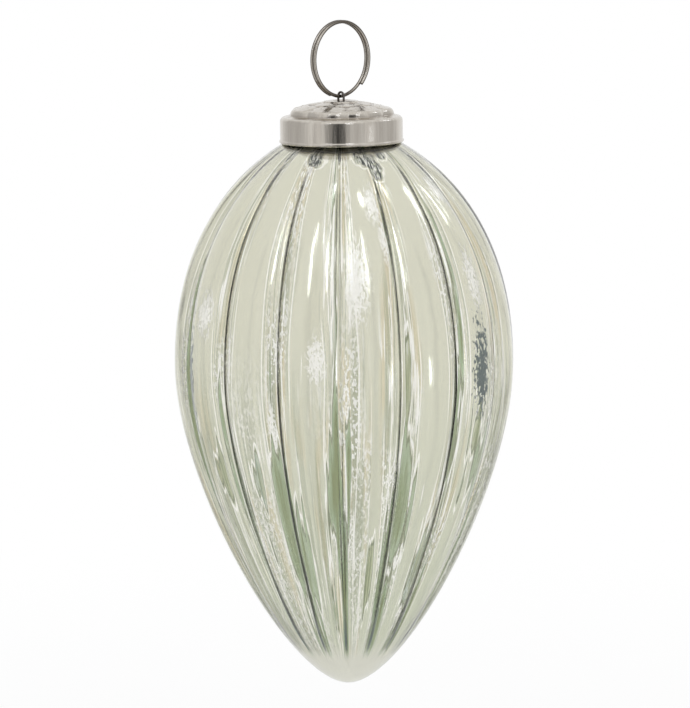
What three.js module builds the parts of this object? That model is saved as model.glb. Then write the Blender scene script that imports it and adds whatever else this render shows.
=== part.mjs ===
// A hanging glass ornament: a fluted, blown egg of antique-silvered glass with its point down, a stamped
// metal cap with an embossed rosette, a bent wire hanger in the cap and a split ring in the hanger.
// Millimetres, +Z up. The origin is where the ornament hangs: the inside of the split ring at its top.

import * as THREE from 'three';

// Split ring: two turns of round wire, side by side, joined by one slanted stretch in the hanger.
// Angles are degrees from the bottom of the ring, towards +X.
const ringOuterDiameter = 20;
const ringWireDiameter = 0.9;
const ringTurnGap = 0.1;
const ringFrontEnd = 45;
const ringBackEnd = -20;
const ringSlantReach = 20; // to each side of the bottom

// Wire hanger: an arch over the ring's wire, two legs through the cap, spread inside the neck
const hangerWireDiameter = 0.6;
const hangerToRingGap = 0.25;
const hangerBendRadius = 1;
const hangerSpreadAngle = 62; // degrees that each leg turns outwards under the cap
const hangerReach = 9; // how far the tips of the legs stand from the axis

// Cap: stamped sheet with a domed top, a lobed rosette, a plain shoulder and a skirt with a rolled lip
const capDiameter = 31.5;
const capSheet = 0.5;
const capToRingGap = 0.6; // lets the ring swing down flat on either side
const capToHangerGap = 0.25;
const bossRadius = 4.3; // of the raised boss around the hole
const bossHeight = 0.25;
const bossWaves = 0.25; // depth of the waves on the boss
const holeDimple = 0.3; // how far the edge of the hole is pressed in
const domeRadius = 41; // of the sphere that the top follows around the boss
const rosetteRadius = 12.9; // to the middle of the rosette's lobed rim
const rosetteStep = 1.5; // from the rim of the rosette down to the shoulder
const rosetteStepRun = 1.3;
const rosetteLobes = 7;
const lobeDepth = 1; // how far the rim draws in between two lobes
const rosettePhase = 29.4; // degrees from +X to a notch between two lobes
const petalHeight = 0.45; // from the valley between two petals to the crest of one
const petalGroove = 0.2; // pressed in between the two tiers of petals and around the boss
const innerPetalsFrom = 5.1;
const innerPetalsTo = 8.3;
const tierGap = 0.4; // from the tips of the inner petals to the outer ones
const shoulderFall = 0.4; // of the plain shoulder, from the step to the skirt's rounded edge
const edgeRadius = 1.2;
const skirtHeight = 5.6; // from the rounded edge to the end of the rolled lip
const lipDiameter = 0.9;
const lipFlare = 0.25;

// Glass: an egg of two curves that meet at the belly, with a plain neck inside the cap
const bellyDiameter = 88.2;
const bellyHeight = 84; // above the tip
const shoulderHeight = 56.3; // from the belly up to where the glass comes out from under the cap
const tipRoundness = 15.3; // handle lengths of the two curves
const bellyHandleDown = 30.9;
const bellyHandleUp = 30.3;
const shoulderHandle = 16.9;
const shoulderSlope = 30.4; // degrees below level where the glass leaves the cap
const glassWall = 1.6;
const neckDiameter = 27;
const neckFillet = 2.2; // height of the curve between neck and shoulder
const lipToGlassGap = 0.35;

// Flutes: convex lobes with a crease between each two
const fluteCount = 16;
const flutePhase = -0.5; // degrees from +X to a crease
const creaseDepth = 2.1; // at the belly, on the outside of the glass
const creaseDepthInside = 1.3;
const creaseSharpness = 2.4; // power of the way from the middle of a lobe to its crease
const creaseShrink = 0.5; // power of the glass's radius that the depth follows
const creaseStartAboveTip = 8;
const creaseFullAboveTip = 36;
const creaseStartBelowCap = 1;
const creaseFullBelowCap = 13;

// Cement between neck and cap
const cementGap = 0.3;
const cementToCapBottom = 1;
const neckToCapTop = 0.4; // from the neck's rim to the inside of the cap

// Fineness of the faceted surfaces
const wireSides = 8;
const ringSteps = 84;
const hangerSteps = 56;
const facetsPerFlute = 4;
const facetsPerLobe = 10;
const cementFacets = 48;
const outsideRows = { neck: 2, fillet: 3, shoulder: 12, lower: 14 };
const insideRows = { neck: 1, fillet: 2, shoulder: 8, lower: 10 };

const radians = THREE.MathUtils.degToRad;
const smooth = THREE.MathUtils.smoothstep;

const glassMaterial = new THREE.MeshStandardMaterial({ color: 0xd3d6c4, roughness: 0.08, metalness: 0.35 });
const capMaterial = new THREE.MeshStandardMaterial({ color: 0xbeb6ac, roughness: 0.28, metalness: 1 });
const wireMaterial = new THREE.MeshStandardMaterial({ color: 0x8f877d, roughness: 0.35, metalness: 1 });
const cementMaterial = new THREE.MeshStandardMaterial({ color: 0xd9d4c8, roughness: 0.9, metalness: 0 });

// Heights that the pieces share
const ringWireRadius = ringWireDiameter / 2;
const hangerWireRadius = hangerWireDiameter / 2;
const ringCentreZ = ringWireDiameter - ringOuterDiameter / 2;
const pivotZ = ringCentreZ - (ringOuterDiameter / 2 - ringWireRadius);
const capTopZ = pivotZ - ringWireRadius - capToRingGap;
const holeEdgeZ = capTopZ - holeDimple;
const capRadius = capDiameter / 2;
const archRadius = ringWireRadius + hangerToRingGap + hangerWireRadius;
const holeRadius = archRadius + hangerWireRadius + capToHangerGap;

function domeZ(radius) {
  return capTopZ - bossHeight - (domeRadius - Math.sqrt(domeRadius ** 2 - radius ** 2));
}

const stepTopRadius = rosetteRadius - rosetteStepRun / 2;
const stepFootRadius = rosetteRadius + rosetteStepRun / 2;
const stepFootZ = domeZ(stepTopRadius) - rosetteStep;
const edgeTopZ = stepFootZ - shoulderFall;
const skirtTopZ = edgeTopZ - edgeRadius;
const lipCentreZ = skirtTopZ - skirtHeight + lipDiameter / 2;
const capBottomZ = lipCentreZ - lipDiameter / 2;
const skirtInnerRadius = capRadius - capSheet;

const neckRadius = neckDiameter / 2;
const neckTopZ = edgeTopZ - capSheet - neckToCapTop;
const glassShoulderZ = capBottomZ - lipToGlassGap;
const bellyZ = glassShoulderZ - shoulderHeight;
const tipZ = bellyZ - bellyHeight;

// A closed surface turned about Z. Each profile point may carry a relief: a function of the angle around Z that
// gives how far the point stands off in radius and in height.
function revolve(profile, segments, phase) {
  const points = profile.map((p) => new THREE.Vector2(p.radius, p.z));
  const geometry = new THREE.LatheGeometry(points, segments);
  geometry.rotateX(Math.PI / 2);
  const position = geometry.attributes.position;
  for (let i = 0; i < position.count; i += 1) {
    const point = profile[i % profile.length];
    const turn = (Math.floor(i / profile.length) % segments) / segments;
    const angle = turn * 2 * Math.PI;
    const relief = point.relief ? point.relief(angle) : { out: 0, up: 0 };
    const radius = point.radius + relief.out;
    position.setXYZ(
      i,
      radius * Math.cos(angle + phase),
      radius * Math.sin(angle + phase),
      point.z + relief.up,
    );
  }
  geometry.computeVertexNormals();
  return geometry;
}

// A round wire bent along a curve
function bentWire(path, radius, steps) {
  const section = new THREE.Shape();
  section.absarc(0, 0, radius, 0, 2 * Math.PI);
  return new THREE.ExtrudeGeometry(section, {
    steps,
    curveSegments: wireSides / 2,
    bevelEnabled: false,
    extrudePath: path,
  });
}

// Split ring
class RingPath extends THREE.Curve {
  constructor() {
    super();
    this.radius = ringOuterDiameter / 2 - ringWireRadius;
    this.halfPitch = (ringWireDiameter + ringTurnGap) / 2;
    this.startAngle = ringFrontEnd;
    this.endAngle = ringBackEnd + 720;
  }

  sideways(angle) {
    return this.halfPitch * (2 * smooth(angle, 360 - ringSlantReach, 360 + ringSlantReach) - 1);
  }

  getPoint(t, target = new THREE.Vector3()) {
    const angle = this.startAngle + t * (this.endAngle - this.startAngle);
    return target.set(
      this.radius * Math.sin(radians(angle)),
      this.sideways(angle),
      ringCentreZ - this.radius * Math.cos(radians(angle)),
    );
  }
}

function makeSplitRing() {
  return new THREE.Mesh(bentWire(new RingPath(), ringWireRadius, ringSteps), wireMaterial);
}

// Half a turn over the ring's wire, from the leg at -Y to the leg at +Y
class ArchCurve extends THREE.Curve {
  getPoint(t, target = new THREE.Vector3()) {
    const angle = Math.PI * (1 - t);
    return target.set(0, archRadius * Math.cos(angle), pivotZ + archRadius * Math.sin(angle));
  }
}

// Wire hanger, in the plane across the ring's wire. Under the cap each leg turns outwards in a round bend.
function makeHangerWire() {
  const spread = radians(hangerSpreadAngle);
  const bendStartZ = holeEdgeZ - capSheet - hangerWireRadius;
  const bendEndY = archRadius + hangerBendRadius * (1 - Math.cos(spread));
  const bendEndZ = bendStartZ - hangerBendRadius * Math.sin(spread);
  const cornerZ = bendStartZ - hangerBendRadius * Math.tan(spread / 2);
  const tipZ = bendEndZ - (hangerReach - bendEndY) / Math.tan(spread);

  const leg = (side) => ({
    top: new THREE.Vector3(0, side * archRadius, pivotZ),
    bendStart: new THREE.Vector3(0, side * archRadius, bendStartZ),
    corner: new THREE.Vector3(0, side * archRadius, cornerZ),
    bendEnd: new THREE.Vector3(0, side * bendEndY, bendEndZ),
    tip: new THREE.Vector3(0, side * hangerReach, tipZ),
  });
  const back = leg(-1);
  const front = leg(1);

  const path = new THREE.CurvePath();
  path.add(new THREE.LineCurve3(back.tip, back.bendEnd));
  path.add(new THREE.QuadraticBezierCurve3(back.bendEnd, back.corner, back.bendStart));
  path.add(new THREE.LineCurve3(back.bendStart, back.top));
  path.add(new ArchCurve());
  path.add(new THREE.LineCurve3(front.top, front.bendStart));
  path.add(new THREE.QuadraticBezierCurve3(front.bendStart, front.corner, front.bendEnd));
  path.add(new THREE.LineCurve3(front.bendEnd, front.tip));
  return new THREE.Mesh(bentWire(path, hangerWireRadius, hangerSteps), wireMaterial);
}

// Points on an arc about a centre, in steps of equal angle
function arcRows(centreRadius, centreZ, radius, fromAngle, toAngle, rows) {
  return Array.from({ length: rows + 1 }, (_, row) => {
    const angle = THREE.MathUtils.lerp(fromAngle, toAngle, row / rows);
    return {
      radius: centreRadius + radius * Math.cos(angle),
      z: centreZ + radius * Math.sin(angle),
    };
  });
}

// Waves around the axis, one for each lobe: lobeWave is 0 at each notch, petalWave in the middle of each lobe
const lobeWave = (angle) => Math.abs(Math.sin((angle * rosetteLobes) / 2));
const petalWave = (angle) => Math.abs(Math.cos((angle * rosetteLobes) / 2));

// The lobed rim of the rosette draws in at its notches
const rimRelief = (share) => (angle) => ({ out: -lobeDepth * share * (1 - lobeWave(angle)), up: 0 });

// A tier of petals between two radii, each row swelling between the notches and pressed in at the tier's ends
function petalTier(fromRadius, toRadius, wave, lobed, rows = 4) {
  return Array.from({ length: rows + 1 }, (_, row) => {
    const share = row / rows;
    const radius = THREE.MathUtils.lerp(fromRadius, toRadius, share);
    const atEnd = row === 0 || (row === rows && !lobed);
    const relief = (angle) => ({
      out: lobed ? rimRelief(share)(angle).out : 0,
      up: petalHeight * (wave(angle) - 0.5) * Math.sin(Math.PI * share) - (atEnd ? petalGroove : 0),
    });
    return { radius, z: domeZ(radius), relief };
  });
}

// Cap: the outside of the profile from the hole to the lip, then the inside back to the hole
function makeCap() {
  const bossCrestRadius = (holeRadius + bossRadius) / 2;
  const bossRelief = (angle) => ({ out: 0, up: -bossWaves * (1 - petalWave(angle)) });
  const lipRadius = lipDiameter / 2;
  const lipCentreRadius = capRadius + lipFlare - lipRadius;
  const lipStart = Math.acos((capRadius - lipCentreRadius) / lipRadius);
  const lipEnd = -Math.PI + lipStart / 2;

  const outside = [
    { radius: holeRadius, z: holeEdgeZ },
    { radius: bossCrestRadius, z: capTopZ },
    { radius: bossRadius, z: capTopZ - bossWaves / 2, relief: bossRelief },
    ...petalTier(innerPetalsFrom, innerPetalsTo, petalWave, false),
    ...petalTier(innerPetalsTo + tierGap, stepTopRadius, lobeWave, true),
    { radius: rosetteRadius, z: domeZ(stepTopRadius) - rosetteStep / 3, relief: rimRelief(1) },
    { radius: stepFootRadius, z: stepFootZ, relief: rimRelief(1) },
    ...arcRows(capRadius - edgeRadius, skirtTopZ, edgeRadius, Math.PI / 2, 0, 3),
    ...arcRows(lipCentreRadius, lipCentreZ, lipRadius, lipStart, lipEnd, 6),
  ];
  const innerStepRadius = stepTopRadius - lobeDepth - capSheet / 2;
  const domeInsideZ = (radius) => domeZ(radius) - capSheet - petalHeight / 2;
  const inside = [
    { radius: skirtInnerRadius, z: lipCentreZ + lipRadius },
    ...arcRows(capRadius - edgeRadius, skirtTopZ, edgeRadius - capSheet, 0, Math.PI / 2, 2),
    { radius: innerStepRadius + rosetteStepRun, z: stepFootZ - capSheet },
    { radius: innerStepRadius, z: domeInsideZ(innerStepRadius) },
    { radius: innerPetalsFrom, z: domeInsideZ(innerPetalsFrom) },
    { radius: holeRadius, z: holeEdgeZ - capSheet },
  ];
  const profile = [...outside, ...inside, outside[0]].reverse();
  const geometry = revolve(profile, rosetteLobes * facetsPerLobe, radians(rosettePhase));
  return new THREE.Mesh(geometry, capMaterial);
}

// Cement between the neck and the cap's skirt
function makeCement() {
  const inner = neckRadius + cementGap;
  const outer = skirtInnerRadius - cementGap;
  const bottom = capBottomZ + cementToCapBottom;
  const top = skirtTopZ;
  const profile = [
    { radius: inner, z: bottom + (outer - inner) },
    { radius: outer, z: bottom },
    { radius: outer, z: top },
    { radius: inner, z: top },
    { radius: inner, z: bottom + (outer - inner) },
  ];
  return new THREE.Mesh(revolve(profile, cementFacets, 0), cementMaterial);
}

// Glass outline from the neck's rim down to the tip, as points of radius and height
function glassOutline(rows) {
  const spot = (radius, z) => new THREE.Vector2(radius, z);
  const bellyRadius = bellyDiameter / 2;
  const slope = radians(shoulderSlope);
  const neckFootZ = glassShoulderZ + neckFillet;
  const leave = spot(capRadius, glassShoulderZ);
  const alongSlope = (length) => spot(leave.x + length * Math.cos(slope), leave.y - length * Math.sin(slope));

  const fillet = new THREE.QuadraticBezierCurve(
    spot(neckRadius, neckFootZ),
    spot(neckRadius, glassShoulderZ + (capRadius - neckRadius) * Math.tan(slope)),
    leave,
  );
  const shoulder = new THREE.CubicBezierCurve(
    leave,
    alongSlope(shoulderHandle),
    spot(bellyRadius, bellyZ + bellyHandleUp),
    spot(bellyRadius, bellyZ),
  );
  const lower = new THREE.CubicBezierCurve(
    spot(bellyRadius, bellyZ),
    spot(bellyRadius, bellyZ - bellyHandleDown),
    spot(tipRoundness, tipZ),
    spot(0, tipZ),
  );
  const neck = new THREE.LineCurve(spot(neckRadius, neckTopZ), spot(neckRadius, neckFootZ));
  return [
    ...neck.getPoints(rows.neck),
    ...fillet.getPoints(rows.fillet).slice(1),
    ...shoulder.getSpacedPoints(rows.shoulder).slice(1),
    ...lower.getSpacedPoints(rows.lower).slice(1),
  ];
}

// The outline moved inwards by the wall, square to itself
function offsetOutline(outline, distance) {
  return outline.map((point, i) => {
    const before = outline[Math.max(i - 1, 0)];
    const after = outline[Math.min(i + 1, outline.length - 1)];
    const along = after.clone().sub(before).normalize();
    if (i === outline.length - 1) {
      along.set(-1, 0);
    }
    return new THREE.Vector2(point.x + along.y * distance, point.y - along.x * distance);
  });
}

// How deep the creases are at a height, as a share of their full depth
function creaseShare(z) {
  const fromTip = smooth(z - tipZ, creaseStartAboveTip, creaseFullAboveTip);
  const fromNeck = smooth(glassShoulderZ - z, creaseStartBelowCap, creaseFullBelowCap);
  return fromTip * fromNeck;
}

// Each lobe is an arc from crease to crease, highest in its middle
function makeGlassBody() {
  const fluted = (fullDepth) => (point) => {
    const girth = point.x / (bellyDiameter / 2);
    const depth = fullDepth * creaseShare(point.y) * girth ** creaseShrink;
    const relief = (angle) => {
      const fromCrease = Math.abs(((angle * fluteCount) / (2 * Math.PI)) % 1);
      const offMiddle = Math.abs(2 * fromCrease - 1);
      return { out: -depth * offMiddle ** creaseSharpness, up: 0 };
    };
    return { radius: point.x, z: point.y, relief };
  };
  const outside = glassOutline(outsideRows).map(fluted(creaseDepth));
  const inside = offsetOutline(glassOutline(insideRows), glassWall).map(fluted(creaseDepthInside));
  outside[outside.length - 1].radius = 0;
  inside[inside.length - 1].radius = 0;
  const profile = [...outside.reverse(), ...inside];
  const geometry = revolve(profile, fluteCount * facetsPerFlute, radians(flutePhase));
  return new THREE.Mesh(geometry, glassMaterial);
}

const ornament = new THREE.Group();

function addPiece(name, mesh) {
  mesh.name = name;
  ornament.add(mesh);
}

addPiece('split_ring', makeSplitRing());
addPiece('hanger_wire', makeHangerWire());
addPiece('cap', makeCap());
addPiece('cap_cement', makeCement());
addPiece('glass_body', makeGlassBody());

export default ornament;
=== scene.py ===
import math

import bpy
from mathutils import Matrix, Vector


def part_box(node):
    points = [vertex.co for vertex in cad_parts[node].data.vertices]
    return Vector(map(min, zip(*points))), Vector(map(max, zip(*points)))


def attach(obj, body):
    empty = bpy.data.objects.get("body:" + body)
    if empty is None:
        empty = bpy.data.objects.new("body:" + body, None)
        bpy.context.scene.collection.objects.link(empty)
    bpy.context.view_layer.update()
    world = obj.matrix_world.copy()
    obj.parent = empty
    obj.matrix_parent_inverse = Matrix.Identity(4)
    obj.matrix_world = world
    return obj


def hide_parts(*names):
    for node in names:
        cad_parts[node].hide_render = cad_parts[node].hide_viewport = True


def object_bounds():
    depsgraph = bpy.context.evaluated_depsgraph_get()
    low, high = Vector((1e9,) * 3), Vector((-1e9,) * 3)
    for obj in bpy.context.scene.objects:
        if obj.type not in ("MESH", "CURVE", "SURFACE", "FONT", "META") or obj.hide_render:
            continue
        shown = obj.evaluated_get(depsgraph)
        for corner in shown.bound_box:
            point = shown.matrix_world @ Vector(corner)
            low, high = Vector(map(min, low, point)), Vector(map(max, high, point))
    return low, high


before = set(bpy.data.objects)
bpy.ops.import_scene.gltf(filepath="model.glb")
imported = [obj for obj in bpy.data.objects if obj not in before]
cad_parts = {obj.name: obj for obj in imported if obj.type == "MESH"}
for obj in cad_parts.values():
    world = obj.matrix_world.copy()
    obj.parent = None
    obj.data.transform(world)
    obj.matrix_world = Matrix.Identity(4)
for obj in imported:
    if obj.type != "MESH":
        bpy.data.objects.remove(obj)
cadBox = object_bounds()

# A hanging ornament of antique-silvered, fluted glass with a stamped cap, a wire hanger and a split ring.
# Metres, +Z up. The origin is the inside of the split ring at its top.

mm = 0.001
tipZ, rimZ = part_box("glass_body")[0][2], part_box("glass_body")[1][2]
capBottomZ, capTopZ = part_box("cap")[0][2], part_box("cap")[1][2]
print("frame loaded:", ", ".join(sorted(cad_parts)))


# Small helpers for node trees and objects

def plug(tree, value, socket):
    # A node stands for its first output
    if isinstance(value, bpy.types.Node):
        value = value.outputs[0]
    if isinstance(value, bpy.types.NodeSocket):
        tree.links.new(value, socket)
    else:
        socket.default_value = value


def addNode(tree, kind, inputs=None, **settings):
    made = tree.nodes.new(kind)
    for name, value in settings.items():
        setattr(made, name, value)
    for key, value in (inputs or {}).items():
        plug(tree, value, made.inputs[key])
    return made


def maths(tree, operation, *values, clamp=False):
    inputs = dict(enumerate(values))
    return addNode(tree, "ShaderNodeMath", inputs, operation=operation, use_clamp=clamp).outputs[0]


def product(tree, first, *others):
    for other in others:
        first = maths(tree, "MULTIPLY", first, other)
    return first


def plus(tree, first, second):
    return maths(tree, "ADD", first, second)


def minus(tree, first, second):
    return maths(tree, "SUBTRACT", first, second)


def ramp(tree, value, low, high, toLow=0.0, toHigh=1.0):
    inputs = dict(enumerate((value, low, high, toLow, toHigh)))
    return addNode(tree, "ShaderNodeMapRange", inputs, interpolation_type="SMOOTHSTEP").outputs[0]


def mixValue(tree, share, first, second):
    return addNode(tree, "ShaderNodeMix", {0: share, 2: first, 3: second}, data_type="FLOAT").outputs[0]


def mixColour(tree, share, first, second):
    return addNode(tree, "ShaderNodeMix", {0: share, 6: first, 7: second}, data_type="RGBA").outputs[2]


def splitVector(tree, vector):
    return addNode(tree, "ShaderNodeSeparateXYZ", {0: vector}).outputs


def joinVector(tree, x, y, z):
    return addNode(tree, "ShaderNodeCombineXYZ", {0: x, 1: y, 2: z}).outputs[0]


def vectorMaths(tree, operation, *values):
    inputs = dict(enumerate(values))
    return addNode(tree, "ShaderNodeVectorMath", inputs, operation=operation).outputs[0]


def objectPlace(tree):
    return addNode(tree, "ShaderNodeTexCoord").outputs["Object"]


def addBump(tree, shader, strength, distance, height):
    bump = addNode(tree, "ShaderNodeBump", {"Strength": strength, "Distance": distance, "Height": height})
    plug(tree, bump, shader["Normal"])


def newGroup(name, kind, inputs, outputs):
    # A socket is given as its type's name, or as a starting value that tells the type
    tree = bpy.data.node_groups.new(name, kind)
    for side, sockets in (("INPUT", inputs), ("OUTPUT", outputs)):
        for label, value in sockets.items():
            socketType = {float: "Float", int: "Int"}.get(type(value), value)
            socket = tree.interface.new_socket(label, in_out=side, socket_type="NodeSocket" + socketType)
            if socketType != value:
                socket.default_value = value
    given = tree.nodes.new("NodeGroupInput").outputs
    result = tree.nodes.new("NodeGroupOutput").inputs
    return tree, given, result


def pathGeometry(tree, path):
    info = addNode(tree, "GeometryNodeObjectInfo", {"Object": path}, transform_space="ORIGINAL")
    return info.outputs["Geometry"]


def smoothed(tree, geometry):
    return addNode(tree, "GeometryNodeSetShadeSmooth", {"Geometry": geometry, "Shade Smooth": True})


def finishGeometry(tree, geometry, material, result):
    loose = addNode(tree, "GeometryNodeRealizeInstances", {"Geometry": geometry})
    painted = addNode(tree, "GeometryNodeSetMaterial", {"Geometry": loose, "Material": material})
    plug(tree, painted, result["Geometry"])


def groupNode(tree, group, inputs):
    made = tree.nodes.new("ShaderNodeGroup")
    made.node_tree = group
    for label, value in inputs.items():
        plug(tree, value, made.inputs[label])
    return made.outputs


def newMaterial(name):
    material = bpy.data.materials.new(name)
    material.use_nodes = True
    tree = material.node_tree
    return material, tree, tree.nodes["Principled BSDF"].inputs


def newObject(name, data):
    made = bpy.data.objects.new(name, data)
    bpy.context.scene.collection.objects.link(made)
    return made


def grow(name, tree, values):
    ids = {item.name: item.identifier for item in tree.interface.items_tree if item.in_out == "INPUT"}
    made = newObject(name, bpy.data.meshes.new(name))
    modifier = made.modifiers.new("grow", "NODES")
    modifier.node_group = tree
    for label, value in values.items():
        modifier[ids[label]] = value
    bpy.context.view_layer.update()
    evaluated = made.evaluated_get(bpy.context.evaluated_depsgraph_get())
    mesh = bpy.data.meshes.new_from_object(evaluated)
    made.modifiers.remove(modifier)
    made.data = mesh
    mesh.name = name
    return made


def towards(azimuth, elevation):
    around, up = math.radians(azimuth), math.radians(elevation)
    return Vector((math.sin(around) * math.cos(up), -math.cos(around) * math.cos(up), math.sin(up)))


def facingFrom(away):
    return away.to_track_quat("Z", "Y").to_matrix().to_4x4()


# Camera, at the photograph's viewing angle

photo = {
    "width": 690,
    "height": 708,
    "azimuth": 316.5,
    "elevation": 7.0,
    "distance": 1.5,
    "focal": 296,
    "sensor": 36,
    "lean": -0.76,
    "aimColumn": 344.4,
    "aimRow": 353.6,
}
middle = Vector((0, 0, (cadBox[0][2] + cadBox[1][2]) / 2))


def makeCamera():
    away = towards(photo["azimuth"], photo["elevation"])
    data = bpy.data.cameras.new("camera")
    data.lens = photo["focal"]
    data.sensor_width = photo["sensor"]
    data.shift_x = (photo["width"] / 2 - photo["aimColumn"]) / photo["height"]
    data.shift_y = (photo["aimRow"] - photo["height"] / 2) / photo["height"]
    camera = newObject("camera", data)
    roll = Matrix.Rotation(math.radians(photo["lean"]), 4, "Z")
    camera.matrix_world = Matrix.Translation(middle + away * photo["distance"]) @ facingFrom(away) @ roll
    bpy.context.scene.camera = camera


makeCamera()
bpy.context.scene.view_settings.view_transform = "Standard"
print("camera made")


# Studio: a round white table in a tent of white panels with darker seams, and five soft lamps

studio = {
    "tableRadius": 0.55,
    "tableSides": 96,
    "tableGap": 40 * mm,
    "tableWhite": 0.95,
    "tableKeepsShadow": 0.3,
    "shadowReach": 0.2,
    "softWorld": 0.97,
    "tentOpens": (0.5, 0.8),
    "lampColour": (0.84, 0.89, 1.0),
    "lampDistance": 0.9,
    "seams": {"Count": 8.0, "Turn": math.radians(22.5), "Start": 0.04, "Full": 0.22, "Grey": 0.88},
}

# Dark strips that metal and the outside of the glass mirror: degrees to the right of the camera's side,
# half width and softness in degrees, and how dark each is
mirrorStrips = [
    (-9, 16, 14, 0.42),
    (-12, 1.5, 2, 0.5),
    (-6, 5, 4, 0.12),
    (3, 1.5, 1.5, 0.45),
    (-52, 1.5, 1.5, 0.6),
    (32, 8, 12, 0.75),
    (95, 22, 22, 0.72),
    (-104, 24, 20, 0.7),
]
cameraSide = math.radians(photo["azimuth"] - 90)


def makeTentGroup():
    tree, given, result = newGroup("tentPanels", "ShaderNodeTree", {
        "Around": "Float", "Count": 8.0, "Turn": 0.0, "Start": 0.1, "Full": 0.3, "Grey": 0.2,
    }, {"Strength": "Float"})
    turned = minus(tree, given["Around"], given["Turn"])
    seams = product(tree, turned, maths(tree, "DIVIDE", given["Count"], 2 * math.pi))
    fromSeam = product(tree, maths(tree, "PINGPONG", seams, 0.5), 2.0)
    shows = ramp(tree, fromSeam, given["Start"], given["Full"])
    plug(tree, mixValue(tree, shows, given["Grey"], 1.0), result["Strength"])
    return tree


def makeStripGroup():
    tree, given, result = newGroup("darkStrip", "ShaderNodeTree", {
        "Around": "Float", "Aside": 0.0, "Half": 0.1, "Soft": 0.1, "Grey": 0.5,
    }, {"Strength": "Float"})
    off = maths(tree, "WRAP", minus(tree, given["Around"], given["Aside"]), math.pi, -math.pi)
    end = plus(tree, given["Half"], given["Soft"])
    shows = ramp(tree, maths(tree, "ABSOLUTE", off), given["Half"], end)
    plug(tree, mixValue(tree, shows, given["Grey"], 1.0), result["Strength"])
    return tree


def tentStrength(tree, vector, path):
    way = splitVector(tree, vector)
    around = minus(tree, maths(tree, "ARCTAN2", way["Y"], way["X"]), cameraSide)
    mirrored = 1.0
    for aside, half, soft, grey in mirrorStrips:
        shows = groupNode(tree, darkStrip, {
            "Around": around, "Aside": math.radians(aside), "Half": math.radians(half),
            "Soft": math.radians(soft), "Grey": grey})["Strength"]
        mirrored = product(tree, mirrored, shows)
    through = groupNode(tree, tentPanels, {"Around": around, **studio["seams"]})["Strength"]
    return mixValue(tree, path["Is Transmission Ray"], mirrored, through)


def sharpRay(tree, path):
    return maths(tree, "MAXIMUM", path["Is Glossy Ray"], path["Is Transmission Ray"])


def makeTable():
    tableZ = cadBox[0][2] - studio["tableGap"]
    radius, sides = studio["tableRadius"], studio["tableSides"]
    angles = [2 * math.pi * i / sides for i in range(sides)]
    rim = [(radius * math.cos(a), radius * math.sin(a), tableZ) for a in angles]
    mesh = bpy.data.meshes.new("table")
    mesh.from_pydata(rim, [], [tuple(range(sides))])
    table = newObject("table", mesh)
    material = bpy.data.materials.new("white table")
    material.use_nodes = True
    tree = material.node_tree
    tree.nodes.clear()
    white = studio["tableWhite"]
    lit = addNode(tree, "ShaderNodeBsdfDiffuse", {"Color": (white, white, white, 1)})
    place = objectPlace(tree)
    path = addNode(tree, "ShaderNodeLightPath").outputs
    strength = mixValue(tree, path["Is Camera Ray"], tentStrength(tree, place, path), 1.0)
    glow = addNode(tree, "ShaderNodeEmission", {"Color": (1, 1, 1, 1), "Strength": strength})
    flat = vectorMaths(tree, "MULTIPLY", place, (1, 1, 0))
    reach = addNode(tree, "ShaderNodeVectorMath", {0: flat}, operation="LENGTH").outputs["Value"]
    shows = ramp(tree, reach, studio["shadowReach"], radius * 0.9, 1 - studio["tableKeepsShadow"])
    seen = maths(tree, "MAXIMUM", path["Is Camera Ray"], sharpRay(tree, path))
    mix = addNode(tree, "ShaderNodeMixShader", {
        0: product(tree, seen, shows), 1: lit, 2: glow})
    sink = addNode(tree, "ShaderNodeOutputMaterial")
    plug(tree, mix, sink.inputs["Surface"])
    mesh.materials.append(material)


def makeWorld():
    world = bpy.data.worlds.new("studio")
    world.use_nodes = True
    bpy.context.scene.world = world
    tree = world.node_tree
    tree.nodes.clear()
    way = addNode(tree, "ShaderNodeTexCoord").outputs["Generated"]
    path = addNode(tree, "ShaderNodeLightPath").outputs
    top = ramp(tree, splitVector(tree, way)["Z"], *studio["tentOpens"])
    tent = mixValue(tree, top, tentStrength(tree, way, path), 1.0)
    strength = mixValue(tree, sharpRay(tree, path), studio["softWorld"], tent)
    strength = mixValue(tree, path["Is Camera Ray"], strength, 1.0)
    back = addNode(tree, "ShaderNodeBackground", {"Color": (1, 1, 1, 1), "Strength": strength})
    sink = addNode(tree, "ShaderNodeOutputWorld")
    plug(tree, back, sink.inputs["Surface"])


# Azimuth from the camera's side and elevation in degrees, width and height in metres, power in watts
lamps = {
    "lampLeft": (-26, 42, 0.03, 0.6, 0.16),
    "lampFront": (16, 40, 0.05, 0.5, 0.22),
    "lampRight": (57, -6, 0.04, 0.16, 0.05),
    "lampSide": (116, 40, 0.07, 0.3, 0.18),
    "lampTop": (44, 72, 0.08, 0.16, 0.08),
}


def makeLamps():
    for name, (azimuth, elevation, width, height, power) in lamps.items():
        away = towards(photo["azimuth"] + azimuth, elevation)
        data = bpy.data.lights.new(name, "AREA")
        data.shape = "ELLIPSE"
        data.size, data.size_y, data.energy = width, height, power
        data.color = studio["lampColour"]
        made = newObject(name, data)
        made.matrix_world = Matrix.Translation(middle + away * studio["lampDistance"]) @ facingFrom(away)


tentPanels = makeTentGroup()
darkStrip = makeStripGroup()
makeTable()
makeWorld()
makeLamps()
print("studio made")


# Shared effects: wear on metal, the place on the glass, streaks along it, and how far it is to a crease

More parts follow.
